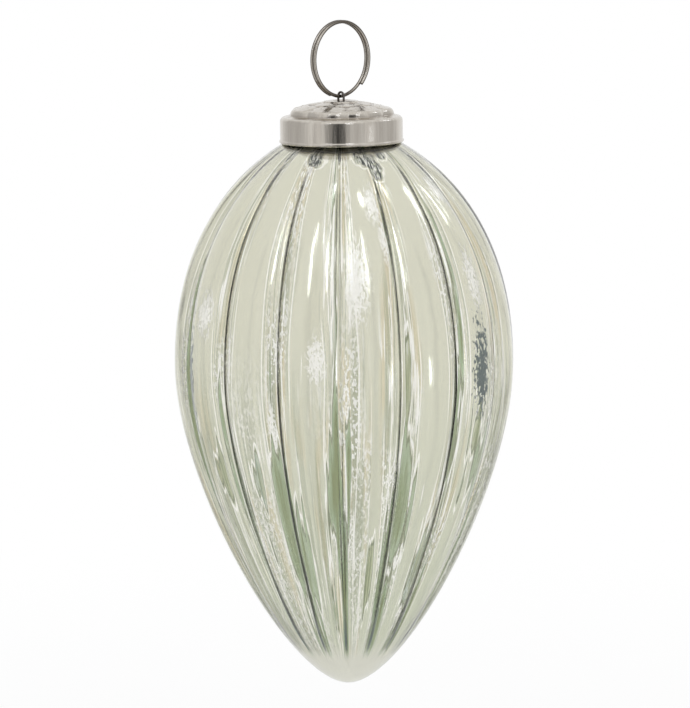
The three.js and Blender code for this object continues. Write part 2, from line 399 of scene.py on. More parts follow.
def makeWearGroup():
    tree, given, result = newGroup("metalWear", "ShaderNodeTree", {
        "Vector": "Vector", "Scale": 300.0, "Amount": 0.5,
    }, {"Patina": "Float", "Grain": "Float"})
    cloud = addNode(tree, "ShaderNodeTexNoise", {
        "Vector": given["Vector"], "Scale": given["Scale"], "Detail": 5.0, "Roughness": 0.6}).outputs["Fac"]
    low = minus(tree, 0.75, product(tree, given["Amount"], 0.4))
    plug(tree, ramp(tree, cloud, low, plus(tree, low, 0.2)), result["Patina"])
    fine = addNode(tree, "ShaderNodeTexNoise", {
        "Vector": given["Vector"], "Scale": product(tree, given["Scale"], 9.0), "Detail": 3.0})
    plug(tree, fine.outputs["Fac"], result["Grain"])
    return tree


def makeMeridianGroup():
    # The place on a cylinder around the glass, so that a pattern follows the flutes down to the tip
    tree, given, result = newGroup("meridian", "ShaderNodeTree", {
        "Vector": "Vector", "Radius": 0.044,
    }, {"Vector": "Vector"})
    level = vectorMaths(tree, "MULTIPLY", given["Vector"], (1, 1, 0))
    outwards = vectorMaths(tree, "NORMALIZE", level)
    radius = joinVector(tree, given["Radius"], given["Radius"], given["Radius"])
    around = vectorMaths(tree, "MULTIPLY", outwards, radius)
    height = joinVector(tree, 0.0, 0.0, splitVector(tree, given["Vector"])["Z"])
    plug(tree, vectorMaths(tree, "ADD", around, height), result["Vector"])
    return tree


def makeStreakGroup():
    tree, given, result = newGroup("streaks", "ShaderNodeTree", {
        "Vector": "Vector", "Across": 200.0, "Along": 20.0, "Detail": 4.0,
        "Low": 0.5, "High": 0.6, "Seed": 0.0,
    }, {"Mask": "Float", "Level": "Float"})
    stretch = joinVector(tree, given["Across"], given["Across"], given["Along"])
    moved = vectorMaths(tree, "MULTIPLY", given["Vector"], stretch)
    noise = addNode(tree, "ShaderNodeTexNoise", {
        "Vector": moved, "W": given["Seed"], "Scale": 1.0, "Detail": given["Detail"], "Roughness": 0.6},
        noise_dimensions="4D").outputs["Fac"]
    plug(tree, ramp(tree, noise, given["Low"], given["High"]), result["Mask"])
    plug(tree, noise, result["Level"])
    return tree


def makeFlutePlaceGroup():
    tree, given, result = newGroup("flutePlace", "ShaderNodeTree", {
        "Vector": "Vector", "Flutes": 16.0, "Phase": 0.0,
    }, {"From Crease": "Float", "Crease Number": "Float"})
    place = splitVector(tree, given["Vector"])
    around = minus(tree, maths(tree, "ARCTAN2", place["Y"], place["X"]), given["Phase"])
    turn = product(tree, around, maths(tree, "DIVIDE", given["Flutes"], 2 * math.pi))
    plug(tree, product(tree, maths(tree, "PINGPONG", turn, 0.5), 2.0), result["From Crease"])
    nearest = maths(tree, "ROUND", turn)
    plug(tree, maths(tree, "FLOORED_MODULO", nearest, given["Flutes"]), result["Crease Number"])
    return tree


def makeOvalPatchGroup():
    # One oval patch on the glass with a ragged edge; it draws the worn places, the painted shadows and the
    # painted highlight patches
    tree, given, result = newGroup("ovalPatch", "ShaderNodeTree", {
        "Vector": "Vector", "Ragged": 0.0, "Around": 0.0, "Height": 0.0,
        "Half Angle": 0.1, "Half Height": 0.01,
    }, {"Mask": "Float", "Off": "Float"})
    place = splitVector(tree, given["Vector"])
    around = minus(tree, maths(tree, "ARCTAN2", place["Y"], place["X"]), given["Around"])
    across = maths(tree, "DIVIDE", maths(tree, "WRAP", around, math.pi, -math.pi), given["Half Angle"])
    along = maths(tree, "DIVIDE", minus(tree, place["Z"], given["Height"]), given["Half Height"])
    squares = plus(tree, maths(tree, "POWER", across, 2.0), maths(tree, "POWER", along, 2.0))
    off = plus(tree, maths(tree, "SQRT", squares), given["Ragged"])
    plug(tree, ramp(tree, off, 0.8, 1.0, 1.0, 0.0), result["Mask"])
    plug(tree, off, result["Off"])
    return tree


def streakPattern(tree, vector, numbers):
    names = ("Across", "Along", "Detail", "Low", "High", "Seed")
    return groupNode(tree, streaks, {"Vector": vector, **dict(zip(names, numbers))})


metalWear = makeWearGroup()
meridian = makeMeridianGroup()
streaks = makeStreakGroup()
flutePlace = makeFlutePlaceGroup()
ovalPatch = makeOvalPatchGroup()


# Glass: an egg of two curves that meet at the belly, fluted, with a plain neck inside the cap

glassBody = {
    "bellyRadius": 44.1 * mm,
    "bellyAboveTip": 84 * mm,
    "neckRadius": 13.5 * mm,
    "neckFillet": 2.2 * mm,
    "leaveRadius": 15.75 * mm,
    "leaveUnderCap": 0.35 * mm,
    "shoulderSlope": 30.4,
    "shoulderHandle": 16.9 * mm,
    "bellyHandleUp": 30.3 * mm,
    "bellyHandleDown": 30.9 * mm,
    "tipRoundness": 15.3 * mm,
    "wall": 1.6 * mm,
    "polish": 0.13 * mm,
    "flutes": 16,
    "phase": -0.5,
    "creaseOutside": 2.0 * mm,
    "creaseInside": 1.82 * mm,
    "creaseSharpness": 2.4,
    "waveOutside": 0.05 * mm,
    "waveInside": 0.35 * mm,
    "waveScale": 3.2,
    "waveAlong": 12.0,
    "creaseFromTip": (8 * mm, 36 * mm),
    "creaseFromCap": (1 * mm, 13 * mm),
    "rows": 296,
    "columns": 320,
}

silverFilm = {
    "bed": 0.06 * mm,
    "thickness": 0.02 * mm,
    "cover": 0.75,
    "coverAtTip": 0.9,
    "coverWhereWorn": 0.92,
    "coverOnLines": 0.15,
    "roughness": 0.08,
    "roughnessWorn": 0.12,
    "grain": 0.1 * mm,
    "patternsFromTip": (8 * mm, 14 * mm),
}


def makeProfile():
    body = glassBody
    leaveZ = capBottomZ - body["leaveUnderCap"]
    slope = math.radians(body["shoulderSlope"])

    def spot(radius, z):
        return Vector((radius, 0, z))

    rim = spot(body["neckRadius"], rimZ)
    foot = spot(body["neckRadius"], leaveZ + body["neckFillet"])
    bend = spot(body["neckRadius"], leaveZ + (body["leaveRadius"] - body["neckRadius"]) * math.tan(slope))
    leave = spot(body["leaveRadius"], leaveZ)
    belly = spot(body["bellyRadius"], tipZ + body["bellyAboveTip"])
    tip = spot(0, tipZ)
    slant = spot(math.cos(slope), -math.sin(slope))
    points = [
        (rim, rim, rim.lerp(foot, 1 / 3)),
        (foot, rim.lerp(foot, 2 / 3), foot.lerp(bend, 2 / 3)),
        (leave, leave.lerp(bend, 2 / 3), leave + slant * body["shoulderHandle"]),
        (belly, belly + spot(0, body["bellyHandleUp"]), belly - spot(0, body["bellyHandleDown"])),
        (tip, tip + spot(body["tipRoundness"], 0), tip),
    ]
    curve = bpy.data.curves.new("glassProfile", "CURVE")
    curve.dimensions = "3D"
    curve.resolution_u = 160
    spline = curve.splines.new("BEZIER")
    spline.bezier_points.add(len(points) - 1)
    for made, (place, left, right) in zip(spline.bezier_points, points):
        made.handle_left_type = made.handle_right_type = "FREE"
        made.co, made.handle_left, made.handle_right = place, left, right
    return newObject("glassProfile", curve)


def makeFluteTree():
    tree, given, result = newGroup("flutedShell", "GeometryNodeTree", {
        "Geometry": "Geometry", "Profile": "Object", "Rows": 100, "Columns": 320, "Outer Inset": 0.0,
        "Inner Inset": 0.0016, "Outer Crease": 0.002, "Inner Crease": 0.0013, "Crease Sharpness": 2.4,
        "Outer Wave": 0.0, "Inner Wave": 0.0001, "Flutes": 16.0, "Phase": 0.0, "Belly Radius": 0.044,
        "Tip Height": -0.17, "Cap Height": -0.03, "Material": "Material",
    }, {"Geometry": "Geometry"})
    grid = addNode(tree, "GeometryNodeMeshGrid", {
        "Size X": 1.0, "Size Y": 1.0,
        "Vertices X": plus(tree, given["Columns"], 1.0),
        "Vertices Y": given["Rows"],
    })
    place = splitVector(tree, addNode(tree, "GeometryNodeInputPosition").outputs[0])
    turn = plus(tree, place["X"], 0.5)
    row = maths(tree, "ABSOLUTE", product(tree, place["Y"], 2.0))
    isInside = maths(tree, "GREATER_THAN", place["Y"], 0.0)
    lastRow = minus(tree, given["Rows"], 1.0)
    share = minus(tree, product(tree, row, lastRow), 1.0)
    share = maths(tree, "DIVIDE", share, minus(tree, lastRow, 1.0), clamp=True)

    sample = addNode(tree, "GeometryNodeSampleCurve", {
        "Curves": pathGeometry(tree, given["Profile"]), "Factor": share}, mode="FACTOR", use_all_curves=True)
    spot = splitVector(tree, sample.outputs["Position"])
    along = splitVector(tree, sample.outputs["Tangent"])
    inset = mixValue(tree, isInside, given["Outer Inset"], given["Inner Inset"])
    radius = maths(tree, "MAXIMUM", maths(tree, "MULTIPLY_ADD", along["Z"], inset, spot["X"]), 0.0)
    height = minus(tree, spot["Z"], product(tree, along["X"], inset))

    fromTip = ramp(tree, minus(tree, spot["Z"], given["Tip Height"]), *glassBody["creaseFromTip"])
    fromCap = ramp(tree, minus(tree, given["Cap Height"], spot["Z"]), *glassBody["creaseFromCap"])
    fades = product(tree, fromTip, fromCap)
    girth = maths(tree, "POWER", maths(tree, "DIVIDE", spot["X"], given["Belly Radius"]), 0.5)
    depth = mixValue(tree, isInside, given["Outer Crease"], given["Inner Crease"])
    depth = product(tree, product(tree, depth, girth), fades)
    fromCrease = maths(tree, "FRACT", product(tree, turn, given["Flutes"]))
    offMiddle = maths(tree, "ABSOLUTE", maths(tree, "MULTIPLY_ADD", fromCrease, 2.0, -1.0))
    pressed = product(tree, depth, maths(tree, "POWER", offMiddle, given["Crease Sharpness"]))
    radius = minus(tree, radius, pressed)

    angle = maths(tree, "MULTIPLY_ADD", turn, 2 * math.pi, given["Phase"])
    cosine, sine = maths(tree, "COSINE", angle), maths(tree, "SINE", angle)
    onGirth = joinVector(tree, cosine, sine, product(tree, spot["Z"], glassBody["waveAlong"]))
    swell = addNode(tree, "ShaderNodeTexNoise", {
        "Vector": onGirth, "Scale": glassBody["waveScale"], "Detail": 2.0})
    swell = minus(tree, swell.outputs["Fac"], 0.5)
    waves = mixValue(tree, isInside, given["Outer Wave"], given["Inner Wave"])
    radius = minus(tree, radius, product(tree, swell, waves, fades))
    spun = joinVector(tree, product(tree, radius, cosine), product(tree, radius, sine), height)
    shaped = addNode(tree, "GeometryNodeSetPosition", {"Geometry": grid.outputs["Mesh"], "Position": spun})
    welded = addNode(tree, "GeometryNodeMergeByDistance", {"Geometry": shaped, "Distance": 2e-6})
    finishGeometry(tree, smoothed(tree, welded), given["Material"], result)
    return tree


glassLook = {
    "clear": (1.0, 1.0, 0.98, 1),
    # The edge tone is painted shade: the dark green outline where the glass is seen edge-on
    "edge": (0.36, 0.48, 0.42, 1),
    "outlineShadeFacing": (0.82, 0.97),
    "tint": (0.75, 0.78, 0.60, 1),
    "tintDensity": 30.0,
    "refraction": 1.5,
    "roughness": 0.01,
    "lines": (600.0, 14.0, 1.0, 0.5, 0.6, 1.0),
    "linesShare": 0.2,
    "waves": (170.0, 30.0, 1.0, 0.5, 0.6, 2.0),
    "ripple": 0.2 * mm,
    "rippleFromTip": (7 * mm, 20 * mm),
}


def makeGlassMaterial():
    look = glassLook
    material, tree, shader = newMaterial("blown glass")
    place = objectPlace(tree)
    onGirth = groupNode(tree, meridian, {"Vector": place, "Radius": glassBody["bellyRadius"]})["Vector"]
    # Painted shade: the colour turns to the edge tone where the glass is seen edge-on, drawing a dark outline
    facing = addNode(tree, "ShaderNodeLayerWeight", {"Blend": 0.5}).outputs["Facing"]
    edge = ramp(tree, facing, *look["outlineShadeFacing"])
    plug(tree, mixColour(tree, edge, look["clear"], look["edge"]), shader["Base Color"])
    shader["Transmission Weight"].default_value = 1
    shader["IOR"].default_value = look["refraction"]
    shader["Roughness"].default_value = look["roughness"]
    lines = streakPattern(tree, onGirth, look["lines"])["Level"]
    waves = streakPattern(tree, onGirth, look["waves"])["Level"]
    relief = maths(tree, "MULTIPLY_ADD", lines, look["linesShare"], waves)
    overTip = minus(tree, splitVector(tree, place)["Z"], tipZ)
    relief = product(tree, relief, ramp(tree, overTip, *look["rippleFromTip"]))
    addBump(tree, shader, 0.6, look["ripple"], relief)
    tint = addNode(tree, "ShaderNodeVolumeAbsorption", {
        "Color": look["tint"], "Density": look["tintDensity"]})
    plug(tree, tint, tree.nodes["Material Output"].inputs["Volume"])
    return material


# Colours of the silvering, from clean silver to the worn places; the pale tone is also painted highlight, the
# dark tone partly painted shade, and the mouth tone painted shade
silverTones = {
    "clean": (0.83, 0.82, 0.70, 1),
    "lower": (0.74, 0.765, 0.63, 1),
    "nose": (0.77, 0.765, 0.69, 1),
    "pale": (1.0, 0.99, 0.96, 1),
    "dark": (0.33, 0.36, 0.25, 1),
    "honey": (0.80, 0.70, 0.47, 1),
    "green": (0.42, 0.50, 0.35, 1),
    "olive": (0.30, 0.34, 0.19, 1),
    "teal": (0.38, 0.47, 0.40, 1),
    "slate": (0.15, 0.18, 0.18, 1),
    "mouthShade": (0.03, 0.04, 0.035, 1),
}

# Where a pattern's level starts and is full, and for a line also where it starts to fade and is gone
silverEdges = {
    "band": (0.40, 0.62),
    "wholePanels": (0.35, 0.5),
    "leafBare": (0.555, 0.585),
    "leafCore": (0.585, 0.66),
    "leafRim": (0.54, 0.55, 0.56, 0.57),
    "leafOutline": (0.515, 0.525, 0.53, 0.54),
    "wornCore": (0.25, 0.6),
    "wornRim": (0.82, 0.9, 0.96, 1.06),
    "wornOutline": (1.1, 1.18, 1.26, 1.36),
    "mouthShade": (0.55, 0.98),
    "mouthCurl": (0.98, 1.06, 1.15, 1.3),
}
leafTones = ("olive", "teal", "green")
farOff = 9.0

# Patterns of the silvering: features per metre across and along the flutes, detail, low, high, seed
silverStreaks = {
    "fine": (1300.0, 26.0, 2.0, 0.50, 0.60, 0.0),
    "broad": (380.0, 11.0, 1.0, 0.52, 0.60, 3.0),
    "pale": (1000.0, 40.0, 2.0, 0.56, 0.62, 8.0),
    "honey": (240.0, 22.0, 2.0, 0.50, 0.60, 5.0),
    "leaf": (380.0, 16.0, 2.0, 0.50, 0.60, 11.0),
    "clouds": (60.0, 22.0, 1.0, 0.50, 0.62, 4.0),
    "speckle": (1500.0, 700.0, 3.0, 0.50, 0.56, 7.0),
    "wobble": (60.0, 22.0, 1.0, 0.50, 0.60, 9.0),
    "blot": (130.0, 260.0, 2.0, 0.50, 0.60, 13.0),
}

# Worn places, painted highlight patches (pale) and painted shadows (mouth), four numbers for each: degrees
# to the right of the camera's side, millimetres below the origin, half the width in degrees and half the
# height in millimetres
wornAndPaintedPlaces = {
    "slate": [
        (53.9, 86.5, 3.2, 10.5), (-64.6, 89.0, 1.6, 12.0),
    ],
    "olive": [
        (52.5, 103.0, 2.4, 7.5), (42.3, 95.0, 1.4, 9.0), (22.9, 84.0, 0.9, 10.0), (-66.0, 109.0, 3.0, 9.5),
        (-56.0, 112.5, 2.4, 7.0), (11.3, 138.5, 1.6, 7.5), (44.0, 106.0, 1.5, 9.0),
    ],
    "teal": [
        (-35.4, 113.5, 2.2, 6.5), (36.5, 138.0, 3.4, 12.0),
    ],
    "green": [
        (-27.0, 128.0, 3.0, 17.0), (-19.5, 137.0, 2.4, 13.0), (23.5, 121.0, 3.0, 15.0),
        (57.5, 112.0, 3.0, 10.0), (-45.0, 122.0, 2.2, 14.0),
    ],
    "mouthShade": [
        (-20.5, 33.6, 7.0, 2.0), (17.0, 33.8, 10.0, 1.7), (24.0, 36.4, 4.5, 2.6), (35.0, 33.0, 6.0, 1.5),
    ],
    "pale": [
        (5.0, 62.8, 4.2, 10.0), (14.4, 44.0, 3.6, 4.2), (17.3, 52.8, 2.0, 5.2), (57.8, 42.0, 4.0, 3.4),
        (54.7, 63.5, 3.2, 7.5), (-27.2, 100.0, 1.4, 7.0), (-9.7, 82.0, 3.0, 6.0), (-57.0, 72.0, 4.0, 5.5),
        (-1.0, 128.0, 4.5, 9.0),
    ],
}


def makeSilverMaterial():
    edges = silverEdges
    material, tree, shader = newMaterial("antique silvering")
    place = objectPlace(tree)
    onGirth = groupNode(tree, meridian, {"Vector": place, "Radius": glassBody["bellyRadius"]})["Vector"]
    flute = groupNode(tree, flutePlace, {
        "Vector": place, "Flutes": float(glassBody["flutes"]), "Phase": math.radians(glassBody["phase"])})
    fromCrease, number = flute["From Crease"], flute["Crease Number"]
    height = splitVector(tree, place)["Z"]
    underCap = minus(tree, capBottomZ, height)
    overTip = minus(tree, height, tipZ)

    def pattern(name):
        return streakPattern(tree, onGirth, silverStreaks[name])

    def times(first, *others):
        return product(tree, first, *others)

    def either(first, *others):
        for other in others:
            first = maths(tree, "MAXIMUM", first, other)
        return first

    def fall(value, start, gone):
        return ramp(tree, value, start, gone, 1.0, 0.0)

    def between(value, start, full, fades, gone):
        return times(ramp(tree, value, start, full), fall(value, fades, gone))

    def spread(value, amount):
        return product(tree, minus(tree, value, 0.5), amount)

    wobble = minus(tree, pattern("wobble")["Level"], 0.5)
    wavering = maths(tree, "MULTIPLY_ADD", wobble, 0.5, fromCrease)

    def lineAt(share, halfWidth):
        off = maths(tree, "ABSOLUTE", minus(tree, wavering, share))
        return fall(off, halfWidth * 0.4, halfWidth)

    chance = addNode(tree, "ShaderNodeTexWhiteNoise", {"W": number}, noise_dimensions="1D").outputs["Value"]
    # Streaks and lines in the band beside each crease: partly the silvering's own, partly painted shade (dark
    # lines) and painted highlight (pale lines) standing in for the refraction at the creases
    band = fall(maths(tree, "MULTIPLY_ADD", wobble, 1.2, fromCrease), *edges["band"])
    lowerHalf = ramp(tree, overTip, 60 * mm, 100 * mm, 0.85, 0.0)
    band = either(band, times(ramp(tree, chance, *edges["wholePanels"]), lowerHalf))
    fine = times(pattern("fine")["Mask"], band)
    broad = times(pattern("broad")["Mask"], band)
    honey = times(pattern("honey")["Mask"], band)
    clouds, speckle = pattern("clouds"), pattern("speckle")
    comesAndGoes = ramp(tree, clouds["Level"], 0.40, 0.50)
    goesAndComes = fall(clouds["Level"], 0.46, 0.56)
    pale = either(times(lineAt(0.52, 0.02), comesAndGoes), times(lineAt(0.30, 0.015), goesAndComes))
    pale = either(times(pattern("pale")["Mask"], band), pale)
    thin = either(times(lineAt(0.47, 0.016), comesAndGoes), lineAt(0.22, 0.02))
    mottled = times(clouds["Mask"], speckle["Mask"], band)

    # Long leaves of thin silver beside the creases, each with a dark and a pale outline
    below = ramp(tree, overTip, 50 * mm, 120 * mm, -0.02, 0.035)
    leaf = minus(tree, pattern("leaf")["Level"], below)
    leaf = maths(tree, "MULTIPLY_ADD", ramp(tree, wavering, 0.25, 0.65), -0.15, leaf)
    bare = ramp(tree, leaf, *edges["leafBare"])
    core = ramp(tree, leaf, *edges["leafCore"])

    speckled = spread(speckle["Level"], 4.5)
    streaked = spread(pattern("leaf")["Level"], 5.0)
    blotted = maths(tree, "MULTIPLY_ADD", streaked, 0.16, spread(pattern("blot")["Level"], 2.6))
    wornAndHighlit = {"olive": 0.0, "teal": 0.0, "green": 0.0, "slate": 0.0, "pale": 0.0}
    ragged = {"slate": speckled, "pale": speckled, "mouthShade": blotted}
    fromLeaf, fromMouth = farOff, farOff
    for tone, (aside, drop, wide, tall) in [(tone, spot) for tone in wornAndPaintedPlaces for spot in wornAndPaintedPlaces[tone]]:
        shape = groupNode(tree, ovalPatch, {
            "Vector": place, "Ragged": ragged.get(tone, streaked), "Around": cameraSide + math.radians(aside),
            "Height": -drop * mm, "Half Angle": math.radians(wide), "Half Height": tall * mm})
        if tone == "mouthShade":
            fromMouth = maths(tree, "MINIMUM", fromMouth, shape["Off"])
            continue
        wornAndHighlit[tone] = either(wornAndHighlit[tone], shape["Mask"])
        if tone in leafTones:
            fromLeaf = maths(tree, "MINIMUM", fromLeaf, shape["Off"])
    # Painted highlight: the mottled silver and the pale places are drawn near white, where the silver is also
    # frosted and rougher
    broken = ramp(tree, speckle["Level"], 0.36, 0.48, 0.35, 1.0)
    frostAndHighlight = either(mottled, times(wornAndHighlit["pale"], broken))
    leaves = either(*[wornAndHighlit[tone] for tone in leafTones])
    inLeaf = fall(fromLeaf, *edges["wornCore"])
    rim = either(between(leaf, *edges["leafRim"]), between(fromLeaf, *edges["wornRim"]))
    outline = either(between(leaf, *edges["leafOutline"]), between(fromLeaf, *edges["wornOutline"]))

    # Painted shade: dark mouths under the cap, where the creases start, each with a painted highlight curl
    # around it and painted glints inside
    wide = maths(tree, "MULTIPLY_ADD", chance, 0.1, 0.05)
    across = maths(tree, "POWER", maths(tree, "DIVIDE", fromCrease, wide), 2.0)
    deep = maths(tree, "DIVIDE", minus(tree, underCap, 3.0 * mm), 2.2 * mm)
    inMouth = maths(tree, "SQRT", plus(tree, across, maths(tree, "POWER", deep, 2.0)))
    inMouth = maths(tree, "MINIMUM", plus(tree, blotted, inMouth), fromMouth)
    mouthShade = fall(inMouth, *edges["mouthShade"])
    curlHighlight = between(inMouth, *edges["mouthCurl"])
    swirl = maths(tree, "MULTIPLY_ADD", blotted, 5.0, times(inMouth, 1.5))
    swirl = ramp(tree, maths(tree, "PINGPONG", swirl, 1.0), 0.45, 0.8)
    point = times(fall(fromCrease, 0.06, 0.16), ramp(tree, overTip, 9 * mm, 12 * mm))
    point = times(point, fall(overTip, 14 * mm, 28 * mm))

    offTip = ramp(tree, overTip, *silverFilm["patternsFromTip"])
    grainy = ramp(tree, pattern("fine")["Level"], 0.36, 0.56, 1.0, 0.35)
    tones = silverTones
    silver = mixColour(tree, ramp(tree, overTip, 10 * mm, 110 * mm), tones["lower"], tones["clean"])
    silver = mixColour(tree, ramp(tree, overTip, 8 * mm, 16 * mm), tones["nose"], silver)
    # Painted light among these layers: the pale lines, pale patches, curls and glints are painted highlight,
    # the mouths painted shade, the dark streaks partly painted shade
    # Each layer's mask, its tone, and how strongly it colours the silver
    for mask, tone, strength in (
        (honey, "honey", 0.55), (broad, "dark", 0.32), (fine, "dark", 0.42), (thin, "dark", 0.5),
        (either(pale, outline), "pale", 1.0), (frostAndHighlight, "pale", 1.0), (bare, "green", 1.0),
        (core, "olive", 1.0), (wornAndHighlit["green"], "green", 0.85), (wornAndHighlit["teal"], "teal", grainy),
        (wornAndHighlit["olive"], "olive", grainy), (times(leaves, inLeaf), "olive", grainy), (rim, "dark", 1.0),
        (either(wornAndHighlit["slate"], point), "slate", 1.0), (curlHighlight, "pale", 0.7), (mouthShade, "mouthShade", 1.0),
        (times(mouthShade, swirl), "lower", 0.6), (times(mouthShade, speckle["Mask"]), "pale", 0.8),
    ):
        silver = mixColour(tree, times(mask, strength, offTip), silver, tones[tone])
    plug(tree, silver, shader["Base Color"])
    shader["Metallic"].default_value = 1
    fine, frostAndHighlight = times(fine, offTip), times(frostAndHighlight, offTip)
    wornShadedAndHighlit = either(bare, mouthShade, leaves, wornAndHighlit["slate"], frostAndHighlight, point, curlHighlight)
    rough = silverFilm["roughness"]
    for rubbed in (fine, frostAndHighlight):
        rough = maths(tree, "MULTIPLY_ADD", rubbed, silverFilm["roughnessWorn"], rough)
    plug(tree, rough, shader["Roughness"])
    cover = ramp(tree, overTip, 6 * mm, 16 * mm, silverFilm["coverAtTip"], silverFilm["cover"])
    lines = times(either(pale, thin, outline, fine), offTip)
    alpha = maths(tree, "MULTIPLY_ADD", lines, silverFilm["coverOnLines"], cover)
    alpha = either(alpha, times(wornShadedAndHighlit, offTip, silverFilm["coverWhereWorn"]))
    plug(tree, alpha, shader["Alpha"])
    relief = plus(tree, times(frostAndHighlight, speckle["Level"]), times(fine, 0.4))
    addBump(tree, shader, 0.25, silverFilm["grain"], relief)
    return material


def makeGlass():
    profile = makeProfile()
    shell = makeFluteTree()
    body = glassBody
    shared = {
        "Profile": profile,
        "Rows": body["rows"],
        "Columns": body["columns"],
        "Flutes": float(body["flutes"]),
        "Phase": math.radians(body["phase"]),
        "Belly Radius": body["bellyRadius"],
        "Crease Sharpness": body["creaseSharpness"],
        "Tip Height": tipZ,
        "Cap Height": capBottomZ,
    }
    glass = grow("fluted_glass", shell, {
        **shared,
        "Outer Inset": body["polish"],
        "Inner Inset": body["wall"],
        "Outer Crease": body["creaseOutside"],
        "Inner Crease": body["creaseInside"],
        "Outer Wave": body["waveOutside"],
        "Inner Wave": body["waveInside"],
        "Material": makeGlassMaterial(),
    })
    film = grow("silvering", shell, {
        **shared,
        "Outer Inset": body["wall"] - silverFilm["bed"] - silverFilm["thickness"],
        "Inner Inset": body["wall"] - silverFilm["bed"],
        "Outer Crease": body["creaseInside"],
        "Inner Crease": body["creaseInside"],
        "Outer Wave": body["waveInside"],
        "Inner Wave": body["waveInside"],
        "Material": makeSilverMaterial(),
    })
    bpy.data.objects.remove(profile)
    for piece in (glass, film):
        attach(piece, "bauble")
    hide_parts("glass_body")
    print("glass made:", len(glass.data.polygons), "faces")


makeGlass()


# Cap: stamped sheet with an embossed rosette, a plain shoulder and a skirt with a rolled lip.
# The sizes in this dictionary are millimetres.

capSheet = {
    "radius": 15.75,
    "sheet": 0.5,
    "holeRadius": 1.55,
    "holeDimple": 0.3,
    "bossRadius": 4.3,
    "bossHeight": 0.25,
    "domeRadius": 41,
    "innerPetals": (5.0, 8.4),
    "outerPetalsFrom": 8.6,
    "rimRadius": 12.25,
    "footRadius": 13.55,
    "stepHeight": 1.5,
    "shoulderFall": 0.4,
    "edgeRadius": 1.2,
    "lipRadius": 0.45,
    "lipFlare": 0.25,
    "lobes": 7,
    "lobeDepth": 1.0,
    "phase": 29.4,
    "petalRise": 0.5,
    "petalTapers": (0.95, 0.3),
    "outerPetalsReach": 0.86,
    "bossEdge": 0.12,
    # How dark the painted shade in the rosette's hollows is
    "hollowShadeStrength": 0.6,
    "columns": 336,
    "topRows": 84,
    "stepRows": 14,
    "shoulderRows": 5,
    "edgeRows": 10,
    "skirtRows": 6,
    "lipRows": 14,
    "insideRows": 4,
}

# One petal, in shares of its own width and height
petal = {
    "narrowest": 0.72,
    "swell": 0.2,
    "body": 0.75,
    "edge": 0.25,
    "edgeAt": 0.9,
    "edgeWidth": 0.14,
    "veinWidth": 0.1,
    "valley": 0.35,
    "valleyFrom": 0.95,
    "valleyTo": 1.15,
}


def smoothStep(low, high, value):
    share = min(max((value - low) / (high - low), 0), 1)
    return share * share * (3 - 2 * share)


def petalRelief(turn, along, tipTaper):
    # A leaf with a raised edge and a vein: turn is 0 to 1 from notch to notch, along 0 to 1 from root to tip
    across = abs(2 * (turn % 1) - 1)
    halfWidth = petal["narrowest"] + petal["swell"] * math.sin(math.pi * along)
    inside = across / (math.sqrt(max(1 - tipTaper * along ** 4, 0.02)) * halfWidth)
    if inside >= petal["valleyTo"]:
        return -petal["valley"]
    body = petal["body"] * max(1 - inside * inside, 0)
    edge = petal["edge"] * math.exp(-((inside - petal["edgeAt"]) / petal["edgeWidth"]) ** 2)
    vein = petal["edge"] * math.exp(-(inside / petal["veinWidth"]) ** 2) * (1 - along)
    valley = petal["valley"] * smoothStep(petal["valleyFrom"], petal["valleyTo"], inside)
    ends = smoothStep(0, 0.12, along) * smoothStep(1.02, 0.9, along)
    return (body + edge - vein) * ends - valley


def domeDrop(radius):
    return capSheet["domeRadius"] - math.sqrt(capSheet["domeRadius"] ** 2 - radius ** 2)


def lobeRim(angle):
    return capSheet["rimRadius"] - capSheet["lobeDepth"] * (1 - abs(math.sin(angle * capSheet["lobes"] / 2)))


def rosetteRelief(radius, angle, rim):
    cap = capSheet
    lobeTurn = angle * cap["lobes"] / (2 * math.pi)
    innerFrom, innerTo = cap["innerPetals"]
    innerTaper, outerTaper = cap["petalTapers"]
    if radius < innerTo:
        return petalRelief(lobeTurn + 0.5, max((radius - innerFrom) / (innerTo - innerFrom), 0), innerTaper)
    along = min(max((radius - cap["outerPetalsFrom"]) / (rim - cap["outerPetalsFrom"]), 0), 1)
    return petalRelief(lobeTurn, along * cap["outerPetalsReach"], outerTaper)


def capHeight(radius, angle, top, rim):
    cap = capSheet
    if radius < cap["bossRadius"]:
        share = (radius - cap["holeRadius"]) / (cap["bossRadius"] - cap["holeRadius"])
        dimple = cap["holeDimple"] * (1 - smoothStep(0, 0.4, share))
        return top - dimple - cap["bossEdge"] * smoothStep(0.6, 1, share)
    z = top - cap["bossHeight"] - domeDrop(radius)
    if radius < cap["innerPetals"][1]:
        step = cap["bossHeight"] - cap["bossEdge"] + domeDrop(cap["bossRadius"])
        z += step * (1 - smoothStep(0, 0.5, radius - cap["bossRadius"]))
    return z + 0.5 * cap["petalRise"] * rosetteRelief(radius, angle, rim)


def capRow(kind, share, heights, angle):
    cap = capSheet
    rim = lobeRim(angle)
    if kind == "top":
        radius = cap["holeRadius"] + share * (rim - cap["holeRadius"])
        return radius, capHeight(radius, angle, heights["top"], rim)
    if kind == "step":
        top = capHeight(rim, angle, heights["top"], rim)
        radius = rim + math.sin(share * math.pi / 2) * (cap["footRadius"] - cap["rimRadius"])
        return radius, heights["foot"] + (top - heights["foot"]) * math.cos(share * math.pi / 2)
    foot = rim + cap["footRadius"] - cap["rimRadius"]
    edgeStart = cap["radius"] - cap["edgeRadius"]
    return foot + share * (edgeStart - foot), heights["foot"] + share * (heights["edge"] - heights["foot"])


